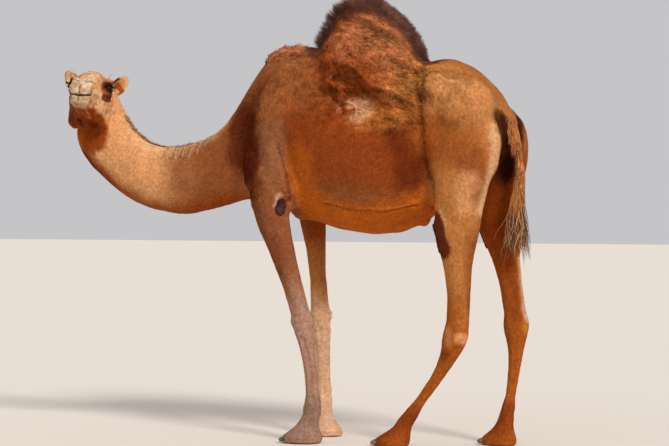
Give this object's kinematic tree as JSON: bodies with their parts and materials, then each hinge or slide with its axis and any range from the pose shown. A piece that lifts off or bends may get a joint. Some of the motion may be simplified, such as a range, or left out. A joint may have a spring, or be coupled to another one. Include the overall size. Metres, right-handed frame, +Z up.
{
  "type": "dromedary camel",
  "caption": "Life-size standing dromedary with a tall hump, low curved neck, head looking back over its left side, short coat with a dark shaggy crest, and a hanging tufted tail.",
  "frame": {"origin": "centre of the bounding box on the floor, which the four soles rest on", "axes": "+X forward along the trunk towards the chest, +Y the animal's left, +Z up"},
  "size_m": [2.3726, 0.7884, 2.1048],
  "materials": {
    "coat_sand": "short dense coat",
    "coat_ochre": "short dense coat",
    "coat_pale": "very short coat",
    "coat_rufous": "short sleek coat",
    "coat_dark": "long shaggy hair",
    "callus": "dry horny skin",
    "nail": "dull horn",
    "eye": "wet and glossy"
  },
  "bodies": {
    "root": {"ear_left": "coat_ochre", "ear_right": "coat_ochre", "eye_left": "eye", "eye_right": "eye", "foot_fore_left": "coat_pale", "foot_fore_right": "coat_pale", "foot_hind_left": "coat_rufous", "foot_hind_right": "coat_rufous", "foreleg_left_lower": "coat_pale", "foreleg_left_upper": "coat_sand", "foreleg_right_lower": "coat_pale", "foreleg_right_upper": "coat_sand", "head": "coat_ochre", "hindleg_left_lower": "coat_rufous", "hindleg_left_upper": "coat_rufous", "hindleg_right_lower": "coat_rufous", "hindleg_right_upper": "coat_rufous", "hump": "coat_dark", "jaw": "coat_pale", "nail_fore_left_inner": "nail", "nail_fore_left_outer": "nail", "nail_fore_right_inner": "nail", "nail_fore_right_outer": "nail", "nail_hind_left_inner": "nail", "nail_hind_left_outer": "nail", "nail_hind_right_inner": "nail", "nail_hind_right_outer": "nail", "neck_lower": "coat_ochre", "neck_middle": "coat_ochre", "neck_upper": "coat_ochre", "pad_chest": "callus", "pad_elbow_left": "callus", "pad_elbow_right": "callus", "pad_stifle_left": "callus", "pad_stifle_right": "callus", "tail": "coat_ochre", "tail_tuft": "coat_dark", "thigh_left": "coat_sand", "thigh_right": "coat_sand", "trunk": "coat_sand"}
  },
  "joints": []
}
